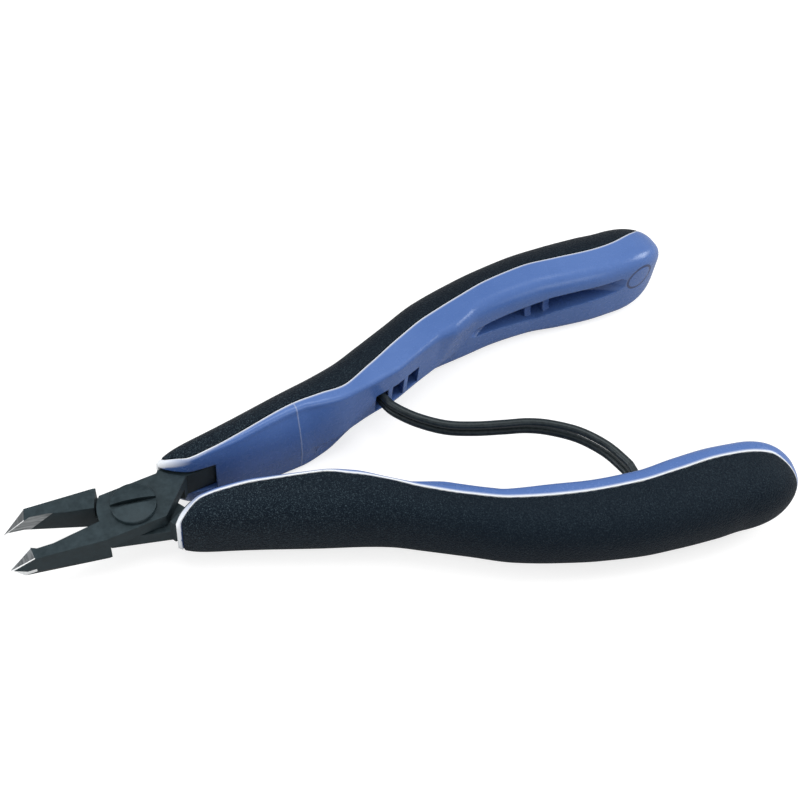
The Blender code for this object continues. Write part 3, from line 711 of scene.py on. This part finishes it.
def lengthways(start, end):
    """Positions of sections along the handle, close together at the pad's ends and round the rear end."""
    turn = HANDLE_END - END_ROUND
    last = math.asin(min(math.sin(END_TURN), (end - turn) / END_ROUND))
    near = [PAD_LIP * share for share in (-1.2, -0.8, -0.5, -0.25, -0.06, 0.06, 0.3, 0.6, 1.0)]
    found = [*np.linspace(start, PAD_FRONT, 7), *(PAD_FRONT + step for step in near)]
    found += [*np.linspace(PAD_FRONT + 2 * PAD_LIP, PAD_FRONT + PAD_FRONT_ROUND, 9)]
    found += [*np.linspace(PAD_FRONT + PAD_FRONT_ROUND, turn, SECTIONS)]
    found += [turn + END_ROUND * math.sin(last * i / END_SECTIONS) for i in range(1, END_SECTIONS + 1)]
    found += [PAD_END + step for step in near]
    kept = []
    for x in sorted(found):
        if start <= x <= end and (not kept or x - kept[-1] > PAD_LIP / 12):
            kept.append(float(x))
    return kept


def pad_depth(x):
    """Depth of the recess for the pad at x, with rounded ends."""
    inside = min(x - PAD_FRONT, PAD_END - x) + PAD_GAP
    if inside <= 0:
        return lip(-inside) if inside > -PAD_LIP else 0.0
    return PAD_THICKNESS * station(x, PAD)


def handle_ring(x):
    """Section of the blue moulding at x, with the recess for the pad let into it."""
    inner, outer, half = shape = section(x)
    depth = pad_depth(x)
    in_pad = PAD_FRONT - PAD_GAP < x < PAD_END + PAD_GAP
    faces = []
    for column, sign in ((BORDER_A, 1), (BORDER_B, -1)):
        corner = corner_at(x, sign, inner, outer, half)
        edge = border_at(x, column) - PAD_GAP
        last = edge - 2 * PAD_LIP
        start, reach, _ = corner
        places = [min(last, start + reach * (1 - share)) for share in reversed(quarter(CORNER_STEPS))]
        places += [*np.linspace(places[-1], last, 7)[1:]]
        places += [edge - PAD_LIP * share for share in reversed(LIP_SHARES)]
        drops = [min(lip(edge - y), depth) if in_pad else depth for y in places]
        deep = [edge + (outer - edge) * share for share in quarter(ROUND_STEPS)]
        skin = [*zip(places, drops), *((y, depth) for y in deep)]
        faces.append([skin_point(x, y, drop, corner, shape, sign) for y, drop in skin])
    ledge = ledge_at(half)
    heights = np.linspace(faces[0][0][2], -ledge, WALL_STEPS)[1:]
    down = [(x, wall(x, z, inner, half), z) for z in heights]
    foot = (x, inner, max(-ledge - LEDGE_STEP, (faces[1][0][2] - ledge) / 2))
    return [*faces[0], *faces[1][-2::-1], foot, *reversed(down)]


def grip_ring(x):
    """Section of the grip pad at x: its skin from border to border, then its inside."""
    inner, outer, half = shape = section(x)
    end = lip(min(x - PAD_FRONT, PAD_END - x))
    depth = PAD_THICKNESS * station(x, PAD) - PAD_GAP
    skins, insides = [], []
    for column, sign in ((BORDER_A, 1), (BORDER_B, -1)):
        corner = corner_at(x, sign, inner, outer, half)
        edge = border_at(x, column)
        skin = [(edge + PAD_LIP * share, lip(PAD_LIP * share)) for share in LIP_SHARES[:-1]]
        skin += [(edge + PAD_LIP + (outer - edge - PAD_LIP) * share, 0.0) for share in quarter(PAD_STEPS)]
        skins.append([skin_point(x, y, max(drop, end), corner, shape, sign) for y, drop in skin])
        deep = [edge + (outer - edge) * share for share in quarter(PAD_INNER_STEPS)]
        insides.append([skin_point(x, y, max(depth, end + PAD_GAP), corner, shape, sign) for y in deep])
    return [*skins[0], *reversed(skins[1][:-1]), *insides[1], *reversed(insides[0][:-1])]


# The pockets, seat and slot of a handle

def tang_centre(x):
    """Middle of the tang at x: it follows the middle of the handle behind the nose."""
    x = max(x, SLOT_END)
    return (inner_at(x) + outer_at(x)) / 2 - TANG_OFFSET


def tang_sides(grow, start, end):
    """Inner and outer sides of the tang as plan points, widened by grow."""
    xs = np.linspace(start, end, TANG_STEPS)
    inner = [(x, tang_centre(x) - TANG_WIDTH / 2 - grow) for x in xs]
    outer = [(x, tang_centre(x) + TANG_WIDTH / 2 + grow) for x in reversed(xs)]
    return inner, outer


def flank(x):
    """Outer side of the slot at the nose, along the side of the head."""
    shoulder_x, shoulder_y = SHOULDER + SHOULDER_RISE, HEAD_SIDE + SHOULDER_RISE
    tang_y = tang_centre(TANG_START) + TANG_WIDTH / 2
    return shoulder_y + (tang_y - shoulder_y) * (x - shoulder_x) / (TANG_START - shoulder_x) + TANG_FIT


def pocket_mesh(x):
    """A pocket for the spring's ends, open at the wall's face."""
    low, high = x - POCKET_LENGTH / 2, x + POCKET_LENGTH / 2
    top, floor = rail_face(x) - BEYOND, rail_face(x) + POCKET_DEPTH
    outline = [(low, top), (high, top), (high, floor), (low, floor)]
    return prism("pocket", outline, POCKET_LIP - LEDGE, POCKET_TOP)


def pocket_at(index):
    return RAIL_FROM + POCKET_SETBACK + index * POCKET_PITCH


def seat_half(x):
    """Half height of the spring's seat at x: it narrows ahead of the ribs and behind them."""
    run, end = (SEAT_BEHIND, SEAT_NARROW) if x > RIB_CENTRE else (SEAT_AHEAD, SEAT_POINT)
    return SEAT_HALF + (end - SEAT_HALF) * min(1.0, abs(x - RIB_CENTRE) / run)


def seat_middle(x):
    """Height of the seat's middle at x: it climbs behind the ribs."""
    return SEAT_SHIFT + SEAT_CLIMB * math.sqrt(min(1.0, max(0.0, (x - RIB_CENTRE) / SEAT_BEHIND)))


def seat_mesh():
    """The long hollow in which the spring's bend rests."""
    start, end = RIB_CENTRE - SEAT_AHEAD, RIB_CENTRE + SEAT_BEHIND
    rings = []
    for x in np.linspace(start, end, SEAT_SECTIONS).tolist():
        half = seat_half(x)
        ramp = min(1.0, (x - start) / SEAT_RAMP_FRONT, (end - x) / SEAT_RAMP_REAR)
        depth = (SEAT_DEPTH + SEAT_RISE) * math.sin(math.pi / 2 * ramp) - SEAT_RISE
        chamfer = min(SEAT_CHAMFER, half / 2)
        top, bottom = inner_at(x) - BEYOND, inner_at(x) + depth
        profile = [(top, -half), (bottom - chamfer, -half), (bottom, chamfer - half),
                   (bottom, half - chamfer), (bottom - chamfer, half), (top, half)]
        rings.append([(x, y, z + seat_middle(x)) for y, z in profile])
    return loft("seat", rings)


def rib_mesh(x):
    """A rib across the seat, lower in its middle."""
    half = seat_half(x) + RIB_ROOT
    face = inner_at(x)
    profile = [(face + SEAT_DEPTH + RIB_ROOT, half), (face + SEAT_DEPTH + RIB_ROOT, -half)]
    for share in (-1.0, -0.5, 0.0, 0.5, 1.0):
        profile.append((face + RIB_TOP + RIB_SAG * (1 - share**2), share * half))
    places_along = (x - RIB_THICKNESS / 2, x + RIB_THICKNESS / 2)
    rings = [[(place, y, z + seat_middle(x)) for y, z in profile] for place in places_along]
    return loft("rib", rings)


def slot_mesh():
    """The open slot at the nose and the channel that holds the tang."""
    inner, outer = tang_sides(TANG_FIT, SLOT_END, TANG_END + TANG_FIT)
    front = NOSE - BEYOND
    nose = [(TANG_START, flank(TANG_START)), (front, flank(front)), (front, -BEYOND)]
    half = HEAD_HALF + CHEEK_FIT
    return prism("slot", [(SLOT_END, -BEYOND), *inner, *outer, *nose], -half, half)


def mark_moulding(obj):
    """Notes at each point a painted highlight, near the pad's border and at the nose, and painted shade,
    deeper in a hollow.
    """
    mesh = obj.data
    rim = mesh.attributes.new("rim", "FLOAT", "POINT")
    deep = mesh.attributes.new("deep", "FLOAT", "POINT")
    for i, vert in enumerate(mesh.vertices):
        x, y, z = vert.co
        inner, outer, half = section(x)
        column, sign = (BORDER_A, 1) if z > 0 else (BORDER_B, -1)
        corner = corner_at(x, sign, inner, outer, half)
        edge = border_at(x, column) if PAD_FRONT < x < PAD_END else outer + PAINTED_RIM_WIDTH
        inside = abs(z) < side_height(min(y, outer), corner, inner, outer, half) - PAD_LIP
        sunk = y - wall(x, z, inner, half)
        # painted highlight: strongest on the pad's border, and fading back from the nose
        near = 1 - abs(edge - y) / PAINTED_RIM_WIDTH
        front = NOSE_HIGHLIGHT * (1 - (x - NOSE) / NOSE_HIGHLIGHT_FADE)
        rim.data[i].value = 0.0 if inside else min(1.0, max(0.0, near * 2, front))
        # painted shade, from the depth below the wall's face
        deep.data[i].value = min(1.0, max(0.0, sunk / POCKET_DEPTH)) if inside else 0.0


def build_handle(name, side, turned, body, material):
    """One blue handle moulding, in place of its CAD node."""
    rings = [handle_ring(x) for x in lengthways(NOSE, HANDLE_END)]
    obj = add_object(f"{name}_moulding", loft(name, rings), material)
    tools = [(slot_mesh(), "DIFFERENCE")]
    tools += [(pocket_mesh(pocket_at(i)), "DIFFERENCE") for i in range(POCKET_COUNT)]
    tools.append((seat_mesh(), "DIFFERENCE"))
    tools += [(rib_mesh(RIB_CENTRE + (i - 0.5) * RIB_SPACING), "UNION") for i in range(2)]
    carve(obj, tools)
    mark_moulding(obj)
    obj.data.transform(rest_move(side, turned))
    shade(obj, 32)
    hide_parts(name)
    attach(obj, body)


def build_grip(name, side, turned, body, material):
    """One soft grip pad, in place of its CAD node."""
    rings = [grip_ring(x) for x in lengthways(PAD_FRONT, PAD_END)]
    obj = add_object(f"{name}_pad", loft(name, rings), material)
    obj.data.transform(rest_move(side, turned))
    shade(obj, 50)
    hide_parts(name)
    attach(obj, body)


# Head

def tip_points(side):
    """Upper inner and upper outer corners of the tip, its point, and the low corners of the end face and
    of the jaw."""
    top = HEAD_HALF - TIP_TOP_DROP
    inner = Vector((EDGE_RUN - JAW_LENGTH, 0.0, top))
    outer = Vector((inner.x, -side * TIP_WIDTH, top))
    point = Vector((-JAW_LENGTH, 0.0, top - TIP_HEIGHT))
    beside = point + Vector((TIP_FOOT, -side * TIP_FOOT, TIP_EDGE / 2))
    low = Vector((inner.x - TIP_EDGE, outer.y, point.z + TIP_EDGE))
    return inner, outer, point, beside, low


def jaw_columns(side):
    """Corners of the jaw as pairs of a top and a bottom point, from the tip round the outer side and back."""
    inner, outer, point, beside, low = tip_points(side)
    back, out, down = TIP_BELLY
    belly = point + Vector((back, -side * out, -down))
    front = [(inner, point), (outer, beside), (outer, belly), (outer, low)]
    shoulder = -HEAD_RADIUS - LAP_CLEARANCE
    head, inside = ([((shoulder, -side * y, HEAD_HALF), (shoulder, -side * y, -HEAD_HALF))]
                    for y in (HEAD_FRONT, JAW_INSIDE))
    hollow = []
    for distance, share in ((HOLLOW_END, RELIEF_SHARE), (HOLLOW_BACK, 1.0), (BEVEL_BACK, RELIEF_SHARE)):
        step = Vector((distance / EDGE_RAMP, -side * share * RELIEF_DEPTH, 0.0))
        hollow.append((inner + step, point + step))
    return front, head, inside, hollow


def head_plan():
    """Plan of the lap plate and the tang, from the heel behind the jaw round to the plate's round end."""
    inner, outer = tang_sides(0.0, TANG_START, TANG_END)
    heel = [(HEEL, -HEAD_FRONT), (HEEL + HEEL_CHAMFER, -HEAD_FRONT + HEEL_CHAMFER)]
    step = [(SHOULDER + SHOULDER_RISE, HEAD_SIDE + SHOULDER_RISE), (SHOULDER, HEAD_SIDE)]
    return heel + inner + outer + step + arc(HEAD_RADIUS, *PLATE_TURN, 8)


def lap_mesh(side):
    """What is milled away from one half so that the other half's plate turns in it."""
    wall = HEAD_RADIUS + 2 * LAP_CLEARANCE
    along = (-math.sin(LAP_WALL_LEAN), math.cos(LAP_WALL_LEAN))
    foot = (wall * math.cos(LAP_WALL_LEAN), wall * math.sin(LAP_WALL_LEAN))
    outline = arc(HEAD_RADIUS + LAP_CLEARANCE, *LAP_TURN, 12)
    last, turn = outline[-1], math.radians(LAP_TURN[1])
    outline += [(last[0] - LAP_STRAIGHT * math.sin(turn), last[1] + LAP_STRAIGHT * math.cos(turn))]
    outline += [(0.0, -HEAD_RADIUS - BEYOND)]
    for reach in (-LAP_WALL_FRONT, LAP_WALL_REAR):
        outline.append((foot[0] + reach * along[0], foot[1] + reach * along[1]))
    outline = [(x, side * y) for x, y in outline]
    edge, past = LAP_GAP / 2, HEAD_HALF + BEYOND
    return prism("lap", outline, *((-past, edge) if side > 0 else (-edge, past)))


def cheek_mesh(side):
    """Shallow relief in the outer face of a half, under the cheek of its handle."""
    edge = [(x - CHEEK_FIT, inner_at(x) - CHEEK_FIT) for x in np.linspace(NOSE, SLOT_END, TANG_STEPS)]
    far = TANG_END + BEYOND
    outline = [(NOSE - CHEEK_FIT, HANDLE_HALF + BEYOND), *edge, (far, -BEYOND), (far, HANDLE_HALF + BEYOND)]
    outline = [(x, side * y) for x, y in outline]
    low, high = HEAD_HALF - CHEEK_RELIEF, HEAD_HALF + BEYOND
    return prism("cheek", outline, *((low, high) if side > 0 else (-high, -low)))


def hole_mesh():
    """The screw's hole, which stays blind in the lower half."""
    outline = arc(SCREW_SHANK_RADIUS + SCREW_FIT, 0, 360 - 360 / HOLE_STEPS, HOLE_STEPS - 1)
    return prism("hole", outline, SCREW_FLOOR - HEAD_HALF, HEAD_HALF + BEYOND)


def facing(bm, sign, reach):
    """Faces with their middle ahead of reach that look towards +Y, or towards -Y where sign is -1."""
    return [face for face in bm.faces
            if sign * face.normal.y > SIDEWAYS and face.calc_center_median().x < reach]


def mark_ground(mesh, side):
    """Gives the ground faces at the tip their materials."""
    inner, outer, point, beside, low = tip_points(side)
    end_normal = (outer - inner).cross(point - inner).normalized()
    facet = (beside - outer).cross(low - outer)
    relief = facet.cross(low + Vector((0, 0, RELIEF_RISE)) - beside).normalized()
    relief *= -1 if relief.z > 0 else 1
    back = Vector((TIP_HEIGHT, 0.0, -EDGE_RUN)).normalized()
    strip_end = inner + Vector((STRIP_END / EDGE_RAMP, 0.0, 0.0))
    reach = strip_end.x + EDGE_RUN
    bm = bmesh.new()
    bm.from_mesh(mesh)
    split(bm, facing(bm, -side, low.x), beside, relief)
    split(bm, facing(bm, side, reach), strip_end, back)
    for face in facing(bm, side, reach):
        if (face.calc_center_median() - strip_end).dot(back) < 0:
            face.material_index = STRIP
    for face in facing(bm, -side, low.x):
        if (face.calc_center_median() - beside).dot(relief) > 0:
            face.material_index = END_FACE
    for face in bm.faces:
        if abs(face.normal.dot(end_normal)) > ALONG_END and face.calc_center_median().x < inner.x:
            face.material_index = END_FACE
    bm.to_mesh(mesh)
    bm.free()


def paint_edge_highlights(mesh, side):
    """Marks a narrow strip of painted highlight on the end face along the cutting edge and along its outer
    edge.
    """
    inner, outer, point, beside, _ = tip_points(side)
    bm = bmesh.new()
    bm.from_mesh(mesh)
    for start, end in ((inner, point), (outer, beside)):
        across = (end - start).cross((outer - inner).cross(point - inner)).normalized()
        across *= 1 if across.dot(inner + outer + point - 3 * start) > 0 else -1
        split(bm, [face for face in bm.faces if face.material_index == END_FACE],
              start + across * TIP_LINE, across)
        for face in bm.faces:
            if face.material_index == END_FACE and (face.calc_center_median() - start).dot(across) < TIP_LINE:
                face.material_index = EDGE_HIGHLIGHT
    bm.to_mesh(mesh)
    bm.free()


def build_half(name, side, body, materials):
    """One forged half with its ground tip, in place of its CAD node."""
    front, head, inside, hollow = jaw_columns(side)
    plan = [((x, side * y, HEAD_HALF), (x, side * y, -HEAD_HALF)) for x, y in head_plan()]
    columns = front + head + plan + inside + hollow
    count = len(columns)
    points = [point for column in columns for point in column]
    faces = [(2 * i, 2 * ((i + 1) % count), 2 * ((i + 1) % count) + 1, 2 * i + 1) for i in range(count)]
    head_at, inside_at = len(front), len(front + head + plan)
    jaw = [*range(inside_at, count), *range(head_at + 1)]
    rest = range(head_at, inside_at + 1)
    for level in (0, 1):
        faces.append([2 * i + level for i in jaw])
        faces.append([2 * i + level for i in rest])
    obj = add_object(f"{name}_steel", mesh_from(name, points, faces), *materials)
    carve(obj, [(tool, "DIFFERENCE") for tool in (lap_mesh(side), cheek_mesh(side), hole_mesh())])
    mark_ground(obj.data, side)
    paint_edge_highlights(obj.data, side)
    round_edges(obj, tip_points(side))
    obj.data.transform(rest_move(side))
    shade(obj, 30)
    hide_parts(name)
    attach(obj, body)


def build_screw(body, steel):
    """Slotted pivot screw with a domed head and a rounded rim."""
    under, foot = HEAD_HALF + SCREW_SEAT, SCREW_FLOOR + SCREW_FIT - HEAD_HALF
    rim, top = under + SCREW_RIM, under + SCREW_RIM + SCREW_DOME
    edge = SCREW_HEAD_RADIUS - SCREW_EDGE
    dome = [i / DOME_STEPS for i in range(DOME_STEPS + 1)]
    profile = [(edge * share, top - SCREW_DOME * share**2) for share in dome]
    for i in range(1, RIM_STEPS + 1):
        angle = math.pi / 2 * i / RIM_STEPS
        profile.append((edge + SCREW_EDGE * math.sin(angle), rim - SCREW_EDGE * (1 - math.cos(angle))))
    profile += [(SCREW_HEAD_RADIUS, under), (SCREW_SHANK_RADIUS, under)]
    profile += [(SCREW_SHANK_RADIUS, foot), (0.0, foot)]
    bm = bmesh.new()
    verts = [bm.verts.new((r, 0.0, z)) for r, z in profile]
    edges = [bm.edges.new(pair) for pair in zip(verts, verts[1:])]
    bmesh.ops.spin(bm, geom=verts + edges, cent=(0, 0, 0), axis=(0, 0, 1), angle=2 * math.pi,
                   steps=SCREW_STEPS)
    bmesh.ops.remove_doubles(bm, verts=bm.verts, dist=LATHE_JOIN)
    bmesh.ops.recalc_face_normals(bm, faces=bm.faces)
    mesh = bpy.data.meshes.new("screw")
    bm.to_mesh(mesh)
    bm.free()
    obj = add_object("pivot_screw_turned", mesh, steel)
    length, width = SCREW_HEAD_RADIUS + BEYOND, SCREW_SLOT_WIDTH / 2
    outline = [(-length, -width), (length, -width), (length, width), (-length, width)]
    slot = prism("screw_slot", outline, top - SCREW_SLOT_DEPTH, top + BEYOND)
    slot.transform(Matrix.Rotation(SCREW_TURN, 4, "Z"))
    carve(obj, [(slot, "DIFFERENCE")])
    obj.data.transform(rest_move(-1))
    shade(obj, 35)
    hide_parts("pivot_screw")
    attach(obj, body)


# Spring

def catmull(points):
    """A smooth curve through the points."""
    ends = [points[0] * 2 - points[1], *points, points[-1] * 2 - points[-2]]
    made = []
    for i in range(len(points) - 1):
        a, b, c, d = ends[i:i + 4]
        for t in (k / SPRING_STEPS for k in range(SPRING_STEPS)):
            bend = (2 * a - 5 * b + 4 * c - d) * t**2 + (3 * b - a - 3 * c + d) * t**3
            made.append(0.5 * (2 * b + (c - a) * t + bend))
    return [*made, points[-1]]


def tube(name, points, radius):
    """A round wire along the points."""
    turn = [2 * math.pi * k / WIRE_STEPS for k in range(WIRE_STEPS)]
    rings = []
    for i, point in enumerate(points):
        ahead = (points[min(i + 1, len(points) - 1)] - points[max(i - 1, 0)]).normalized()
        side = ahead.cross(Vector((0, 0, 1)))
        if side.length < WIRE_UPRIGHT:
            side = Vector((1, 0, 0)).cross(ahead)
        side.normalize()
        rise = side.cross(ahead).normalized()
        rings.append([point + side * (radius * math.cos(a)) + rise * (radius * math.sin(a)) for a in turn])
    return loft(name, rings)


def build_spring(wire):
    """Wire hairpin between the two halves, from the pockets of one handle to the seat of the other."""
    first = pocket_at(0)
    swing = Matrix.Rotation(OPEN_HALF_ANGLE, 2)
    start = swing @ Vector((first, rail_face(first) + WIRE_IN_POCKET))
    end = swing.transposed() @ Vector((RIB_CENTRE, -inner_at(RIB_CENTRE) - WIRE_IN_SEAT))
    line = end - start
    bow = Vector((-line.y, line.x))
    route = [start + share * line + side * bow for share, side in SPRING_LINE]
    half_gap = np.linspace(WIRE_SPREAD_FRONT, WIRE_SPREAD_REAR, len(route))
    upper = [Vector((*place, s)) for place, s in zip(route, half_gap)]
    lower = [Vector((*place, -s)) for place, s in zip(route, half_gap)]
    heading = (upper[-1] - lower[-2]).to_2d().normalized()
    turn = []
    for i in range(1, BEND_STEPS):
        angle = math.pi * i / BEND_STEPS
        place = route[-1] + heading * WIRE_SPREAD_REAR * math.sin(angle)
        turn.append(Vector((*place, WIRE_SPREAD_REAR * math.cos(angle))))
    points = catmull(upper) + turn + catmull(lower)[::-1]
    obj = add_object("return_spring_wire", tube("spring", points, WIRE_RADIUS), wire)
    obj.data.transform(Matrix.Translation((0, 0, HEAD_HALF)))
    shade(obj, 50)
    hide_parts("return_spring")
    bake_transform(obj)


# Stage

def build_camera():
    """The photograph's view, solved from points on the cutter."""
    data = bpy.data.cameras.new("camera")
    data.lens = CAMERA_LENS
    data.sensor_width = CAMERA_SENSOR
    data.clip_start = CAMERA_NEAR
    camera = add_object("camera", data)
    place = Matrix.Translation(CAMERA_TARGET) @ Matrix.Rotation(CAMERA_TURN, 4, "Z")
    place @= Matrix.Rotation(math.pi / 2 - CAMERA_RISE, 4, "X") @ Matrix.Rotation(CAMERA_ROLL, 4, "Z")
    camera.matrix_world = place @ Matrix.Translation((0, 0, CAMERA_DISTANCE))
    bpy.context.scene.camera = camera


def area_light(name, place, target, size, power):
    data = bpy.data.lights.new(name, "AREA")
    data.shape = "RECTANGLE"
    data.size, data.size_y = size
    data.energy = power
    obj = add_object(name, data)
    obj.location = place
    obj.rotation_euler = (Vector(target) - obj.location).to_track_quat("-Z", "Y").to_euler()


def build_world():
    """Plain white to the camera, and a softer light from all round for everything else."""
    world = bpy.data.worlds.new("studio")
    world.use_nodes = True
    nodes, links = world.node_tree.nodes, world.node_tree.links
    nodes.clear()
    path, strength = nodes.new("ShaderNodeLightPath"), nodes.new("ShaderNodeMapRange")
    shader, output = nodes.new("ShaderNodeBackground"), nodes.new("ShaderNodeOutputWorld")
    strength.inputs["To Min"].default_value = WORLD_LIGHT
    strength.inputs["To Max"].default_value = 1.0
    shader.inputs["Color"].default_value = (1.0, 1.0, 1.0, 1.0)
    links.new(path.outputs["Is Camera Ray"], strength.inputs["Value"])
    links.new(strength.outputs["Result"], shader.inputs["Strength"])
    links.new(shader.outputs[0], output.inputs["Surface"])
    bpy.context.scene.world = world


def build_floor():
    """Plain pale floor just under the cutter, seen near white, which keeps its shadow."""
    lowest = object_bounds()[0][2]
    bm = bmesh.new()
    bmesh.ops.create_circle(bm, cap_ends=True, segments=96, radius=FLOOR_RADIUS)
    mesh = bpy.data.meshes.new("floor")
    bm.to_mesh(mesh)
    bm.free()
    nodes = Nodes("floor_white")
    cloud = nodes.ramp(nodes.noise(40.0, 2.0), 0.3, 0.7)
    seen = nodes.math("MULTIPLY", nodes.add("LightPath").outputs["Is Camera Ray"], FLOOR_SEEN)
    nodes.set(Base_Color=nodes.mix(cloud, (0.44, 0.44, 0.44), (0.46, 0.46, 0.46)), Roughness=0.9,
              Emission_Color=(1.0, 1.0, 1.0, 1.0), Emission_Strength=seen, Specular_IOR_Level=0.0)
    floor = add_object("floor", mesh, nodes.material)
    floor.location = (0, 0, lowest - FLOOR_DROP)


def main():
    build_camera()
    steel, wire, grip = black_steel(), wire_steel(), grip_material()
    ends = ground_steel("ground_end", (0.07, 0.08, 0.085), (0.20, 0.21, 0.22), (1.0, 0.1, 1.0), 0.7)
    strip = ground_steel("ground_strip", (0.20, 0.22, 0.23), (0.55, 0.57, 0.58), (0.08, 1.0, 1.0), 0.7)
    # a near-white strip: painted highlight along the tip's edges
    edge_highlight = ground_steel("painted_edge_highlight", (0.80, 0.82, 0.83), (0.92, 0.93, 0.94), (1.0, 1.0, 1.0), 0.1)
    head = (steel, ends, strip, edge_highlight)
    build_half("upper_head_half", 1, "rear_half", head)
    build_half("lower_head_half", -1, "front_half", head)
    build_screw("front_half", steel)
    build_handle("rear_handle", 1, False, "rear_half", blue_material("blue_rear", 1, False))
    build_handle("front_handle", -1, True, "front_half", blue_material("blue_front", -1, True))
    build_grip("rear_grip", 1, False, "rear_half", grip)
    build_grip("front_grip", -1, True, "front_half", grip)
    build_spring(wire)
    build_world()
    build_floor()
    for light in LIGHTS:
        area_light(*light)
    bpy.context.scene.view_settings.view_transform = "Standard"


main()
